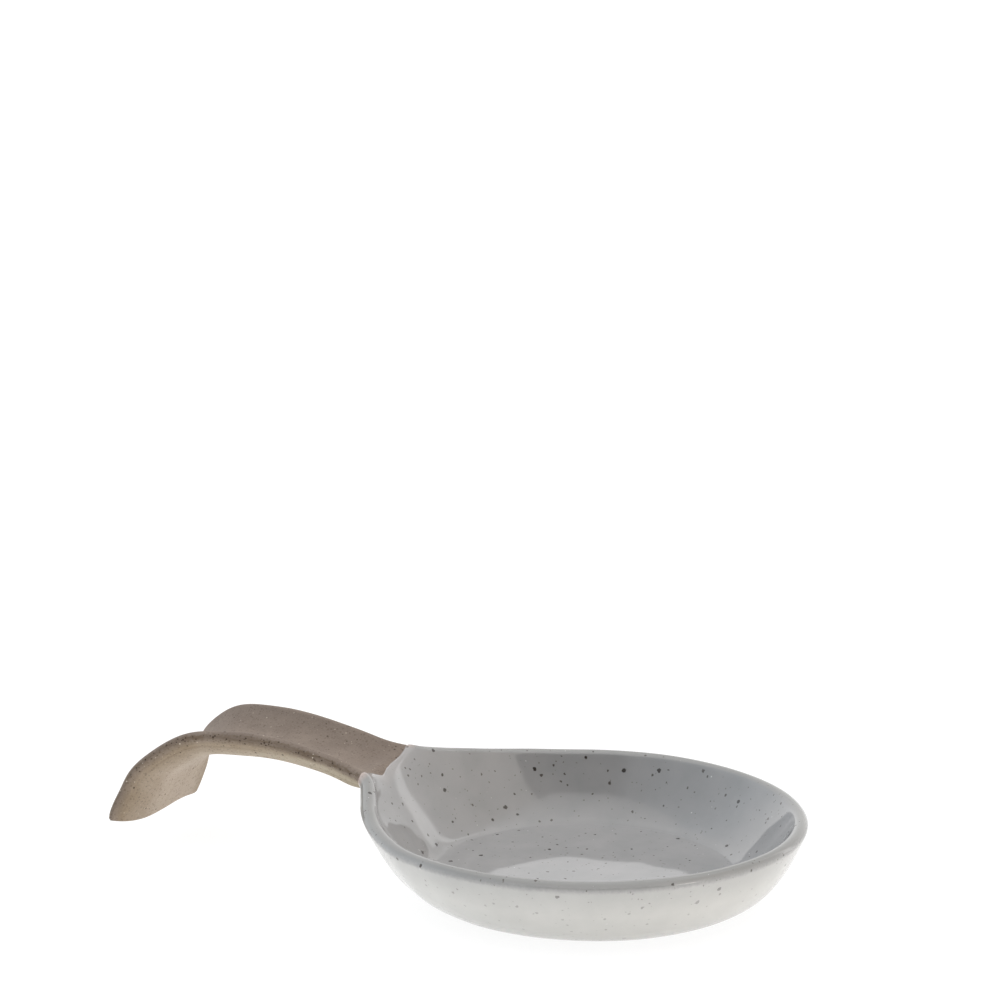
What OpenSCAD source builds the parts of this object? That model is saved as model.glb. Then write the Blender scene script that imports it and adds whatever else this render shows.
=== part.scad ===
// Spoon rest: a round stoneware bowl, glazed all over, with a bare clay
// trough handle that arches up from the rim and curls down behind it.
// Millimetres, Z up, standing on z = 0. The origin is the middle of the foot,
// and the handle points to -X.

/* [Bowl] */
// Length of the bowl along X, from lip centre to lip centre
bowl_l = 132; // [110:1:160]
// Width of the bowl along Y, from lip centre to lip centre
bowl_w = 128; // [110:1:155]
// How far the bowl's middle lies behind the foot's middle
bowl_back = 2.5; // [0:0.5:6]
// Height of the lip's centre line
rim_z = 23; // [18:0.5:32]
// Radius of the rounded clay lip
lip_r = 2; // [1.5:0.1:2.6]
// Height of the clay floor inside the bowl
floor_z = 5; // [4:0.5:8]
// Width of the inside wall in plan, from the floor's edge to the lip's centre
wall_run = 19.5; // [14:0.5:26]
// How far the middle of the floor lies behind the foot's middle
floor_back = 3.5; // [0:0.5:8]
// How fast the outside swells from the foot, 1 is a straight cone
belly = 2.3; // [1.6:0.1:3]
// How fast the inside swells from the floor
hollow = 1.6; // [1.3:0.1:2.2]

/* [Foot] */
// Radius of the flat foot
foot_r = 40; // [34:0.5:46]
// Height of the foot
foot_h = 1; // [0.8:0.1:2]
// Bare step between the foot and the glaze
foot_step = 1; // [0.6:0.1:2]

/* [Handle] */
// How far inside the bowl's end the glaze stops and the handle starts
line_in = 0.5; // [0:0.5:4]
// Width there, between edge centres
line_w = 34; // [28:0.5:42]
// Distance from the foot's middle to the end of the handle
reach = 151; // [125:1:180]
// Height of the handle's edges at the top of the arch
arch_z = 38.5; // [34:0.5:50]
// Height of the handle's edges at its end
tip_z = 9.5; // [8:0.5:16]
// Width of the handle at its narrowest, between edge centres
neck_w = 26.5; // [22:0.5:34]
// Width of the handle at its end, between edge centres
tip_w = 50; // [36:1:56]
// Depth of the trough along the top of the handle
trough = 3.6; // [2:0.1:5]
// Thickness of the clay where the handle leaves the bowl
root_t = 5.2; // [4:0.1:7]
// Thickness of the clay along the handle
handle_t = 4.1; // [3.4:0.1:5.5]
// How boxy the underside of the handle is, 2 is a parabola
under = 3.9; // [2:0.1:5]
// How boxy the trough is, 2 is a parabola
dish = 2.2; // [1.6:0.1:4]

/* [Glaze] */
// Thickness of the glaze
glaze_t = 0.4; // [0.3:0.05:0.8]

/* [Hidden] */

clay_colour = [0.60, 0.54, 0.47];
bare_colour = [0.53, 0.48, 0.43];
glaze_colour = [0.76, 0.77, 0.76];

// Steps between two points of the rails, along a wall, and round the lip
rail_steps = 3;
wall_steps = 7;
lip_steps = 6;
// Directions round the bowl that have a point of the lip's rail: even steps on
// the level round, then the shoulders, where the lip starts to rise
round_points = 9;
round_angle = 120;
shoulder_angles = [130, 140, 149, 157];
// Steps that round off the end of the handle
end_steps = 3;
end_angle = 72;

half_l = bowl_l/2;
half_w = bowl_w/2;
neck_half = neck_w/2;
tip_half = tip_w/2;
base_r = foot_r + foot_step;
floor_r = half_l - wall_run;
line_x = half_l + bowl_back - line_in;
rise = arch_z - rim_z;
climb = arch_z - floor_z;
full_climb = arch_z - foot_h;

// How far the lip has risen at each shoulder point, and where the handle
// starts: shares of the rise from the rim to the arch
shoulder_shares = [0.05, 0.13, 0.24, 0.36];
line_share = 0.505;
// The edge of the handle up to the arch: shares of the way to the end, of the
// widening from neck to end, and of the rise
neck_shares = [[0.095, 0.03, 0.63], [0.22, 0, 0.80],
               [0.405, 0.04, 0.97], [0.58, 0.18, 1.005]];
// The curl: shares of the way, of the widening, and of the drop to the end
curl_shares = [[0.765, 0.395, 0.93], [0.92, 0.755, 0.61],
               [0.967, 0.945, 0.295], [1, 1, 0]];
// The middle of the inside at each shoulder point: shares of the way to the
// handle, and of the climb from the floor to the arch
spine_shares = [[0.25, 0], [0.5, 0], [0.72, 0], [0.85, 0.30]];
// The middle of the outside there and where the handle starts: shares of the
// same way, of the climb from the foot to the arch, and of the change from the
// bowl's round outside to the handle's boxy underside
keel_shares = [[0.29, 0, 0.12], [0.60, 0, 0.8], [0.75, 0.062, 0.12],
               [0.90, 0.305, 0], [1.02, 0.61, 0.5]];
// The depth of the trough from the start of the handle to its end
trough_shares = [0.25, 0.4, 0.55, 0.85, 1, 1, 0.85, 0.6, 0.4];

tiny = 0.0001;

function mix(a, b, t) = a + (b - a)*t;
function ease(t) = let (c = min(1, max(0, t))) c*c*(3 - 2*c);
function unit(v) = v/norm(v);

// A smooth curve through points, with a given number of steps between two. It
// starts square to the plane of symmetry
function knot(c, i) =
    i < 0 ? [c[1][0], -c[1][1], c[1][2]]
    : i >= len(c) ? 2*c[len(c) - 1] - c[len(c) - 2]
    : c[i];
function arc_point(p, q, r, s, t) =
    (2*q + (r - p)*t + (2*p - 5*q + 4*r - s)*t*t
     + (3*q - p - 3*r + s)*t*t*t)/2;
function curve(c) = [
    for (i = [0:(len(c) - 1)*rail_steps])
        let (k = floor(i/rail_steps), t = i/rail_steps - k)
        t == 0 ? c[k] : arc_point(knot(c, k - 1), c[k], knot(c, k + 1),
                                  knot(c, k + 2), t)];

// The rail of the lip and of the handle's edge, on the +Y side
function round_point(angle, share) =
    [half_l*cos(angle) - bowl_back, half_w*sin(angle), rim_z + rise*share];
way = reach - line_x;
function handle_point(s, low, high) =
    [-line_x - way*s[0], mix(neck_half, tip_half, s[1]), mix(low, high, s[2])];
crest_points = concat(
    [for (i = [0:round_points - 1]) round_point(round_angle*i/(round_points - 1), 0)],
    [for (i = [0:len(shoulder_angles) - 1]) round_point(shoulder_angles[i], shoulder_shares[i])],
    [[-line_x, line_w/2, rim_z + rise*line_share]],
    [for (s = neck_shares) handle_point(s, rim_z, arch_z)],
    [for (s = curl_shares) handle_point(s, tip_z, arch_z)]);
crest = curve(crest_points);

first_move = round_points - 1;
line_point = round_points + len(shoulder_angles);
stations = len(crest);
line_station = line_point*rail_steps;

// The upward normal of a rail in the plane of symmetry
function rail_normal(c, i) =
    let (d = knot(c, i + 1) - knot(c, i - 1))
    norm(d) < tiny ? [0, 0, 1] : unit([d[2], 0, -d[0]]);

// The middle line of the inside, and of the underside below it
inner_points = concat(
    [for (i = [0:round_points - 1]) [0, 0, floor_z]],
    [for (s = spine_shares) [-line_x*s[0], 0, floor_z + climb*s[1]]],
    [for (i = [0:len(trough_shares) - 1])
        let (c = crest_points[line_point + i],
             n = rail_normal(crest_points, line_point + i))
        [c[0], 0, c[2]] - n*trough*trough_shares[i]]);
outer_points = concat(
    [for (i = [0:round_points - 1]) [0, 0, foot_h]],
    [for (s = keel_shares) [-line_x*s[0], 0, foot_h + full_climb*s[1]]],
    [for (i = [line_point + 1:len(crest_points) - 1])
        inner_points[i] - rail_normal(inner_points, i)
            *mix(root_t, handle_t, ease((i - line_point - 1)/2))]);
boxy = curve(concat(
    [for (i = [0:round_points - 1]) [0, 0, 0]],
    [for (s = keel_shares) [0, 0, s[2]]],
    [for (i = [line_point + 1:len(crest_points) - 1]) [0, 0, 1]]));

// Both lines run down to the flat floor and the flat base and stop there
function middle_line(c, low) =
    [for (p = curve(c)) [min(0, p[0]), 0, max(low, p[2])]];
function middle_normals(c) = [for (i = [0:stations - 1])
    i <= first_move*rail_steps ? [0, 0, 1] : rail_normal(c, i)];
inner_mid = middle_line(inner_points, floor_z);
outer_mid = middle_line(outer_points, foot_h);
inner_normal = middle_normals(inner_mid);
outer_normal = middle_normals(outer_mid);

// 0 on the bowl, 1 on the handle
function handle_part(i) = ease((i/rail_steps - first_move)/(line_point - first_move));

// The directions across and up in a section
function across(i) = let (k = handle_part(i), p = crest[i]) unit([p[0]*(1 - k), p[1], 0]);
function upward(i) = let (k = handle_part(i)) unit(mix([0, 0, 1], inner_normal[i], k));

// The parts of the way from the middle line to the lip that go sideways and up
function side_way(base, end, k) = [(1 - k)*(end[0] - base[0]), end[1], 0];
function up_way(base, end, k) = [k*(end[0] - base[0]), 0, end[2] - base[2]];

// A wall from the middle line to the lip: flat up to the given share, then
// rising by a power
function wall_point(base, end, k, flat, power, t) =
    base + side_way(base, end, k)*mix(flat, 1, t) + up_way(base, end, k)*pow(t, power);

// The share of the way at which a wall leaves a round flat, the floor or the base
function flat_share(base, end, k, back, r) =
    let (w = side_way(base, end, k), b = [base[0] + back, 0, 0],
         p = (b*w)/(w*w), q = (b*b - r*r)/(w*w))
    q >= 0 ? 0 : sqrt(p*p - q) - p;

// One column of points on the +Y side, from the middle of the inside over the
// lip to the middle of the underside
function column(i) =
    let (k = handle_part(i), a = across(i), u = upward(i), c = crest[i],
         top_in = inner_mid[i], top_out = outer_mid[i],
         rim_in = c - lip_r*a, rim_out = c + lip_r*a,
         flat_in = flat_share(top_in, rim_in, k, floor_back, floor_r),
         flat_out = flat_share(top_out, rim_out, k, 0, base_r),
         power_in = mix(hollow, dish, k), power_out = mix(belly, under, boxy[i][2]))
    concat(
        [top_in],
        [for (j = [0:wall_steps])
            wall_point(top_in, rim_in, k, flat_in, power_in, j/wall_steps)],
        [for (j = [1:lip_steps - 1])
            let (b = 180*j/lip_steps) c - lip_r*cos(b)*a + lip_r*sin(b)*u],
        [for (j = [wall_steps:-1:0])
            wall_point(top_out, rim_out, k, flat_out, power_out, j/wall_steps)],
        [top_out]);

columns = [for (i = [0:stations - 1]) column(i)];
rows = len(columns[0]);
lip_first = wall_steps + 2;

// The same column with the glaze's outer face first and the clay under it last
function glaze_normal(i, j) =
    let (c = columns[i], along = c[j + 1] - c[max(0, j - 1)],
         n = cross(cross(across(i), upward(i)), along))
    j == 0 || i > 0 && abs(c[j][1]) < tiny
    ? (j < lip_first ? inner_normal[i] : -outer_normal[i])
    : unit(n);
function glaze_column(i) = concat(
    [for (j = [0:rows - 2]) columns[i][j] + glaze_t*glaze_normal(i, j)],
    [for (j = [rows - 2:-1:0]) columns[i][j]]);

// The last columns of the handle, drawn in to round off its end
end_way = unit([crest[stations - 1][0] - crest[stations - 2][0], 0,
                crest[stations - 1][2] - crest[stations - 2][2]]);
function end_column(angle) =
    let (c = columns[stations - 1])
    [for (j = [0:rows - 1])
        let (middle = j < lip_first || j > rows - 1 - lip_first
                      ? (c[j] + c[rows - 1 - j])/2 : crest[stations - 1])
        middle + cos(angle)*(c[j] - middle) + end_way*sin(angle)*handle_t/2];

function mirrored(column, side) = [for (p = column) [p[0], p[1]*side + 0, p[2]]];

// Faces between columns that stand side by side, and over the open end of one
function triangle(p, a, b, c) =
    norm(p[a] - p[b]) < tiny || norm(p[b] - p[c]) < tiny || norm(p[c] - p[a]) < tiny
    || max(abs(p[a][1]), abs(p[b][1]), abs(p[c][1])) < tiny
    ? [] : [[a, b, c]];
function square(p, a, b, c, d) = concat(triangle(p, a, b, c), triangle(p, a, c, d));
function strip(p, first, last, n) = [
    for (c = [first:last - 1], r = [0:n - 2])
        each square(p, c*n + r, (c + 1)*n + r, (c + 1)*n + r + 1, c*n + r + 1)];
function cover(p, c, n, turn) = [
    for (r = [0:ceil(n/2) - 2])
        let (a = c*n + r, b = a + 1, d = c*n + n - 2 - r, e = d + 1)
        each turn ? square(p, b, a, e, d) : square(p, a, b, d, e)];

// A solid from the columns of both sides, joined round the far end of the bowl
module round_the_bowl(side_columns) {
    last = len(side_columns) - 1;
    n = len(side_columns[0]);
    points = concat(
        [for (i = [last:-1:1]) each mirrored(side_columns[i], -1)],
        [for (i = [0:last]) each mirrored(side_columns[i], 1)]);
    polyhedron(points, concat(
        strip(points, 0, 2*last, n),
        cover(points, 0, n, false),
        cover(points, 2*last, n, true)), convexity = 6);
}

// A solid from the columns of both sides, open at both ends
module along_the_handle(side_columns) {
    last = len(side_columns) - 1;
    n = len(side_columns[0]);
    points = concat(
        [for (i = [last:-1:0]) each mirrored(side_columns[i], -1)],
        [for (i = [0:last]) each mirrored(side_columns[i], 1)]);
    polyhedron(points, concat(
        strip(points, 0, last, n),
        strip(points, last + 1, 2*last + 1, n),
        cover(points, 0, n, false),
        cover(points, last, n, true),
        cover(points, last + 1, n, false),
        cover(points, 2*last + 1, n, true)), convexity = 6);
}

module bowl_body() {
    color(clay_colour)
        round_the_bowl([for (i = [0:line_station]) columns[i]]);
}

module glaze_coat() {
    color(glaze_colour)
        round_the_bowl([for (i = [0:line_station]) glaze_column(i)]);
}

module handle() {
    color(bare_colour)
        along_the_handle(concat(
            [for (i = [line_station:stations - 1]) columns[i]],
            [for (e = [1:end_steps]) end_column(end_angle*e/end_steps)]));
}

module foot() {
    color(bare_colour)
        cylinder(r = foot_r, h = foot_h, $fn = 180);
}

bowl_body();
handle();
foot();
glaze_coat();
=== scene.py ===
# %% [markdown]
# # A hand-made spoon rest in speckled stoneware
#
# The real thing is one fired piece: a thrown bowl, a pulled strap of the same clay
# that makes the handle, a low foot, and a coat of pale grey gloss glaze over the bowl
# alone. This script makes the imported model's surfaces again as smooth meshes, in the
# same places, and gives them their clay and their glaze.

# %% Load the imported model
import math

import bmesh
import bpy
import numpy as np
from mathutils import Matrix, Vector, noise


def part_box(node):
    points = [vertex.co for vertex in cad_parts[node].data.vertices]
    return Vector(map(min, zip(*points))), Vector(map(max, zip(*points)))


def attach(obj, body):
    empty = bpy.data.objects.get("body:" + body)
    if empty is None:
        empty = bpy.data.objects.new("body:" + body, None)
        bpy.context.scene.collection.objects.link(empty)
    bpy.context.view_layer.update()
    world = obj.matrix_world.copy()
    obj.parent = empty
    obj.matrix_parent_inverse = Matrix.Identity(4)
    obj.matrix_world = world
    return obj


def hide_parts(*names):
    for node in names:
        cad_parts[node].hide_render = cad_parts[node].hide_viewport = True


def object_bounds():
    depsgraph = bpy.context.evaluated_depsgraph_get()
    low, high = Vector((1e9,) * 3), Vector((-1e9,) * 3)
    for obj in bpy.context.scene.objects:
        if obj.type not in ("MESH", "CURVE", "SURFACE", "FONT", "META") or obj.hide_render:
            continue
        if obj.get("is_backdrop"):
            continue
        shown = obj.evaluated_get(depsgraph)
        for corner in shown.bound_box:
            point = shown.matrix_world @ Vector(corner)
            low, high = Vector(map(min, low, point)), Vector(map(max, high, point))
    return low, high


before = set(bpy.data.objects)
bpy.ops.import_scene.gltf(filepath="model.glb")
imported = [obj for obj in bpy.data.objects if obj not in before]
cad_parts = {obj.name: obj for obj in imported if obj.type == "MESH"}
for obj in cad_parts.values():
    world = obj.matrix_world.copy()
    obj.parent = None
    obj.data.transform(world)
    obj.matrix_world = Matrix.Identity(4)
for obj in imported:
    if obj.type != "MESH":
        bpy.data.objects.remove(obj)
cad_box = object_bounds()
MM = 0.001
print("the packed model's box, in mm", [[round(c / MM, 1) for c in corner] for corner in cad_box])

# %% [markdown]
# ## The sizes that shape it
#
# A potter would know this bowl by a few measures: how long and wide it is at the lip,
# how thick the lip is, where the floor turns up into the wall, and how the handle runs.
# They are in millimetres from the middle of the foot, with the handle towards -X. The
# width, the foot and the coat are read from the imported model, so that they can't drift
# off it, and the others are the measures that the model was drawn with.

# %% Name the sizes
bowl_box = [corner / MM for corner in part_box("bowl_body")]
glaze_box = [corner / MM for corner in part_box("glaze_coat")]
foot_box = [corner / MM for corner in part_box("foot")]

lip_r = 2.0
half_length = 66.0
half_width = bowl_box[1].y - lip_r
bowl_back = 2.5
rim_z = 23.0
floor_z = 5.0
floor_r = 46.5
floor_back = 3.5

foot_r = foot_box[1].x
foot_h = foot_box[1].z
base_r = foot_r + 1.0

line_x = 68.0
line_half = 17.0
reach = 151.0
arch_z = 38.5
tip_z = 9.5
neck_half = 13.25
tip_half = 25.0
trough = 3.6
root_t = 6.1
handle_t = 4.5
tip_t = 3.3

# Powers of the walls' curves: a higher one stays flat for longer and then turns up.
hollow = 1.6
belly = 2.45
end_belly = 2.8
dish = 2.2
under = 3.9
tip_under = 7.0

glaze_t = glaze_box[1].y - bowl_box[1].y
print("half width", round(half_width, 2), "foot radius", round(foot_r, 2))
print("glaze", round(glaze_t, 2), "mm thick")

# %% [markdown]
# ## One line round the lip and down the handle
#
# The lip and the handle's edge are one unbroken line. Blender has curve objects for
# that, but the walls have to hang on the line as well, so a small function gives the
# point at any place along a smooth curve through a few points. Place 0 is the far end
# of the bowl, and the handle starts at place 13.


# %% A smooth curve through a few points
def mix(a, b, t):
    return a + (b - a) * t


def ease(value, start, end):
    """0 before start, 1 past end, and a smooth change between them."""
    t = min(1.0, max(0.0, (value - start) / (end - start)))
    return t * t * (3 - 2 * t)


def unit(v):
    return v / np.linalg.norm(v)


def curve_point(points, place):
    """The point at a place on a smooth curve through points. It starts square to the
    plane of symmetry."""
    last = len(points) - 1
    k = min(last - 1, max(0, int(math.floor(place))))
    t = place - k

    def knot(i):
        if i < 0:
            return points[1] * np.array([1, -1, 1])
        if i > last:
            return 2 * points[last] - points[last - 1]
        return points[i]

    p, q, r, s = (knot(i) for i in range(k - 1, k + 3))
    return (2 * q + (r - p) * t + (2 * p - 5 * q + 4 * r - s) * t * t
            + (3 * q - p - 3 * r + s) * t ** 3) / 2


# %% The lip and the edge of the handle
even_angles = [15 * i for i in range(9)]
shoulder_angles = [130, 140, 149, 157]
shoulder_shares = [0.05, 0.13, 0.24, 0.36]
line_share = 0.505
neck_shares = [(0.095, 0.03, 0.63), (0.22, 0, 0.80), (0.405, 0.04, 0.97), (0.58, 0.18, 1.005)]
curl_shares = [(0.765, 0.395, 0.93), (0.92, 0.755, 0.61), (0.967, 0.945, 0.295), (1, 1, 0)]


def round_point(angle, share):
    """A point of the lip in a direction, in degrees, raised by a share of the rise."""
    a = math.radians(angle)
    return np.array([half_length * math.cos(a) - bowl_back, half_width * math.sin(a),
                     mix(rim_z, arch_z, share)])


def handle_point(shares, low):
    """A point of the handle's edge, from shares of its way, widening and height."""
    along, wide, high = shares
    return np.array([-mix(line_x, reach, along), mix(neck_half, tip_half, wide),
                     mix(low, arch_z, high)])


lip_points = np.array(
    [round_point(a, 0) for a in even_angles]
    + [round_point(a, share) for a, share in zip(shoulder_angles, shoulder_shares)]
    + [np.array([-line_x, line_half, mix(rim_z, arch_z, line_share)])]
    + [handle_point(shares, rim_z) for shares in neck_shares]
    + [handle_point(shares, tip_z) for shares in curl_shares])
first_move = len(even_angles) - 1
line_place = len(even_angles) + len(shoulder_angles)
end_place = len(lip_points) - 1
print("the lip's line has", len(lip_points), "points, and the handle starts at place", line_place)

# %% [markdown]
# ## The middle lines
#
# Walls hang between the lip and two middle lines that lie in the plane of symmetry:
# one on top of the clay and one under it. On the bowl both stay in one spot, the hub
# of the floor. Towards the neck they set off and climb to become the bottom of the
# handle's trough and its underside.


# %% Lines along the plane of symmetry
spine_shares = [(0.25, 0), (0.5, 0), (0.72, 0), (0.85, 0.30)]
keel_shares = [(0.29, 0, 0.12), (0.60, 0, 0.8), (0.75, 0.062, 0.12), (0.90, 0.305, 0),
               (1.02, 0.61, 0.5)]
trough_shares = [0.25, 0.4, 0.55, 0.85, 1, 1, 0.85, 0.6, 0.4]
thin_places = (17, 21)


def point_normal(points, i):
    """The upward normal of a line in the plane of symmetry, at one of its points."""
    after = points[i + 1] if i + 1 < len(points) else 2 * points[i] - points[i - 1]
    way = after - points[i - 1]
    return unit(np.array([way[2], 0, -way[0]]))


def in_plane(p):
    return np.array([p[0], 0, p[2]])


def clay_at(place):
    """How thick the handle's clay is: most at the root, least at the thinned end."""
    strap = mix(root_t, handle_t, ease(place, line_place + 1, line_place + 3))
    return mix(strap, tip_t, ease(place, *thin_places))


def trough_point(i, share):
    """The bottom of the trough, under the point i of the handle's edge."""
    return in_plane(lip_points[i]) - point_normal(lip_points, i) * trough * share


rest_points = range(line_place + 1, end_place + 1)
top_points = np.array(
    [[0, 0, floor_z]] * (first_move + 1)
    + [[-line_x * x, 0, mix(floor_z, arch_z, z)] for x, z in spine_shares]
    + [trough_point(line_place + i, share) for i, share in enumerate(trough_shares)])
under_points = np.array(
    [[0, 0, foot_h]] * (first_move + 1)
    + [[-line_x * x, 0, mix(foot_h, arch_z, z)] for x, z, _ in keel_shares]
    + [top_points[i] - point_normal(top_points, i) * clay_at(i) for i in rest_points])
boxy_points = np.array(
    [[0, 0, 0]] * (first_move + 1) + [[0, 0, b] for _, _, b in keel_shares]
    + [[0, 0, 1]] * len(rest_points))


def middle(points, place, low):
    """The point of a middle line at a place. It stops at the flat floor or base."""
    p = curve_point(points, place)
    return np.array([min(0.0, p[0]), 0, max(low, p[2])])


# %% [markdown]
# ## One section
#
# A section runs from the middle of the top over the rounded lip to the middle of the
# underside, on one side of the plane of symmetry. Each wall is flat near the middle
# and then rises by a power, as a thrown wall swells. The rows stand close together
# where the form turns fast: at the edge of the floor and just under the lip. The
# handle has no lip of its own, so there the top runs up onto the edge without a step.

# %% The rows of a section
wall_places = [0, 0.09, 0.18, 0.27, 0.333, 0.40, 0.47, 0.54, 0.62, 0.71, 0.80, 0.89, 0.96, 1]
flat_part = 0.333
full_flat = 0.4
lip_rows = 6
lip_meet = 28
edge_meet = 62
meet_places = (11.5, 14)
belly_places = (0, 5)
deep_places = (18, 21)


def flat_share(base, way, back, r):
    """The share of a way from base to the lip that lies on a flat of radius r."""
    start = base[0] + back
    size = way @ way
    p = start * way[0] / size
    q = (start * start - r * r) / size
    return 0.0 if q >= 0 else math.sqrt(p * p - q) - p


def wall(base, end, k, back, r, power):
    """The rows of a wall from the middle line to the lip."""
    side = np.array([(1 - k) * (end[0] - base[0]), end[1], 0])
    up = np.array([k * (end[0] - base[0]), 0, end[2] - base[2]])
    flat = flat_share(base, side, back, r)
    start = flat_part * min(1.0, flat / full_flat)
    rows = []
    for q in wall_places:
        t = max(0.0, (q - start) / (1 - start))
        share = flat * q / start if q < start else mix(flat, 1, t)
        rows.append(base + side * share + up * t ** power)
    return rows


def section(place):
    """All rows at a place, on the +Y side: top wall, lip, and outside or underside."""
    k = ease(place, first_move, line_place)
    meet = math.radians(mix(lip_meet, edge_meet, ease(place, *meet_places)))
    lip = curve_point(lip_points, place)
    top = middle(top_points, place, floor_z)
    bottom = middle(under_points, place, foot_h)
    boxy = curve_point(boxy_points, place)[2]
    way = curve_point(lip_points, place + 0.1) - curve_point(lip_points, place - 0.1)
    outward = unit(np.array([way[1], -way[0], 0]))
    across = unit(mix(outward, np.array([0, 1, 0]), ease(place, line_place, line_place + 2)))
    upward = unit(np.cross(across, way))
    crest_r = mix(lip_r, tip_t / 2, ease(place, *thin_places))
    over = [lip + crest_r * (math.sin(a) * upward - math.cos(a) * across)
            for a in (mix(meet, math.pi, j / lip_rows) for j in range(lip_rows + 1))]
    fullness = mix(end_belly, belly, ease(place, *belly_places))
    strap_under = mix(under, tip_under, ease(place, *deep_places))
    inside = wall(top, over[0], k, floor_back, floor_r, mix(hollow, dish, k))
    outside = wall(bottom, over[-1], k, 0, base_r, mix(fullness, strap_under, boxy))
    return np.array(inside + over[1:-1] + outside[::-1])


rows_in_all = len(section(0.0))
lip_row = rows_in_all // 2
print("a section has", rows_in_all, "rows, and row", lip_row, "is the top of the lip")

# %% [markdown]
# ## One skin for the whole object
#
# Bowl and handle are one surface on the real thing, so they are made as one skin and
# cut apart afterwards. Sections that stand side by side are joined by four-sided
# faces, which the Subdivision Surface modifier will round evenly, because a gloss glaze
# shows every dent. Blender's Screw modifier could turn the bowl, but not the neck,
# where the profile changes all the way round. The places stand close together at the
# glaze line, so that its edge can be modelled there.

# %% Places for the sections
rail_steps = 3
before_line = [12.48, 12.6, 12.7, 12.78, 12.85, 12.91, 12.96]
after_line = [13, 13.05, 13.1, 13.15, 13.2, 13.26, 13.33, 13.43]
close_places = before_line + after_line
before_end = [0.17, 0.07]
clear = 0.1
even_places = [i / rail_steps for i in range(end_place * rail_steps + 1)]
even_places += [end_place - gap for gap in before_end]
crowded = (close_places[0] - clear, close_places[-1] + clear)
places = [p for p in even_places if not crowded[0] < p < crowded[1]]
places = sorted(places + close_places)
print(len(places), "places on each side")

# %% [markdown]
# ## Rounding the cut end
#
# The handle ends in a cut, softened with a wet finger. A Bevel modifier could round a
# box like that, but the end is dished and flared, so a few more sections are laid past
# it, each drawn in further. The far corner is left sharper than the near one.

# %% Sections past the end
end_steps = 3
end_angle = 72
far_corner = 0.6
near_corner = 0.0


def end_section(turn, outward):
    """A section past the end of the handle, drawn in to round it off. The corner is
    sharper where the lip's middle is moved outward."""
    last = section(end_place)
    before = section(end_place - 1 / rail_steps)
    way = unit(np.array([1, 0, 1]) * (last[lip_row] - before[lip_row]))
    lip = curve_point(lip_points, end_place) + np.array([0, outward, 0])
    rows = []
    for r, p in enumerate(last):
        on_lip = abs(r - lip_row) < lip_rows / 2
        centre = lip if on_lip else (p + last[rows_in_all - 1 - r]) / 2
        rows.append(centre + math.cos(turn) * (p - centre) + way * math.sin(turn) * tip_t / 2)
    return np.array(rows)


# %% [markdown]
# ## What the hand did
#
# So far both sides are alike. In the picture they aren't: the end was cut by eye in a
# soft S with a round near corner and a pulled far one, a thumb pressed the near wall of
# the neck outward under the lip, and the floor sank as it dried, lowest off the middle.
# Each of these is a small function that moves one point. Sculpt mode could do the same
# by feel, but numbers can be changed one at a time and compared with the picture.

# %% The cut end
# Each pair of places: where a move starts, and where it is complete.
near_swing = 3.2
swing_places = (18, 21.5)
edge_tuck = 1.3
tuck_place = 19.9
tuck_reach = 0.8
end_wave = 2.2
far_rise = 1.1
near_rise = 1.6
cut_places = (20.5, 22)
far_pull = np.array([-1.2, -2.4, -1.9])
pull_places = (19.8, 21.4)
near_round = 5.0
full_turn = 0.66
end_step = np.linalg.norm(section(end_place)[lip_row] - section(end_place - 1)[lip_row])
round_from = end_place - near_round / end_step
print("the near corner is round from place", round(round_from, 2))


def hump(value, middle, reach):
    """1 at the middle, and it fades out to both sides over about twice the reach."""
    return math.exp(-((value - middle) / reach) ** 2)


def cut_end(p, place):
    """Moves a point of the handle's end to where the knife and the finger left it. The
    place across the end, v, goes from -1 at the near edge to 1 at the far one."""
    v = p[1] / tip_half
    near = min(1.0, max(0.0, -v))
    last = ease(place, *cut_places)
    p[0] -= near_swing * ease(place, *swing_places) * ease(near, 0, 1.1)
    p[1] -= edge_tuck * hump(place, tuck_place, tuck_reach) * ease(v, 0, 0.9)
    p[2] += last * end_wave * hump(v, 0.1, 0.5)
    p[2] += last * far_rise * ease(v, -0.6, 0.2)
    p[2] += last * near_rise * ease(near, 0.45, 1)
    p += far_pull * ease(place, *pull_places) * ease(v, 0.35, 1.1)
    if p[1] < 0:
        turned = full_turn * min(1.0, max(0.0, (place - round_from) / (end_place - round_from)))
        p[1] *= 1 - near_round * (1 - math.sqrt(1 - turned ** 2)) / tip_half


# %% The pressed neck
# Each pair, in mm: where the press begins to be felt, and where it is felt in full.
pressed = 2.1
press_middle = -25.0
press_reach = 11.0
press_z = 15.0
press_rise = 9.0
press_low = (4.5, 8.5)
press_high = (32, 25)
press_near = (0, -3)
press_back = (-44, -52)


def press_neck(p):
    """Tilts the neck's near wall as a thumb does: out under the lip, in lower down."""
    tilt = min(1.0, max(-1.0, (p[2] - press_z) / press_rise))
    tilt *= ease(p[2], *press_low) * ease(p[2], *press_high)
    share = hump(p[1], press_middle, press_reach) * ease(p[1], *press_near)
    p[0] -= pressed * share * tilt * ease(p[0], *press_back)


# %% The sunk floor
sag = 1.15
sag_r = 44.0
sag_at = np.array([-2.0, -6.0])
sag_places = (first_move + 3, first_move)


def sink_floor(p, place):
    """Lowers a point of the floor by its share of the sag."""
    off = np.linalg.norm(p[:2] - sag_at) / sag_r
    p[2] -= sag * max(0.0, 1 - off ** 2) ** 2 * ease(place, *sag_places)


# %% All the handwork
off_lip = lip_row - lip_rows // 2 - 1
neck_end = line_place + 3


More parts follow.
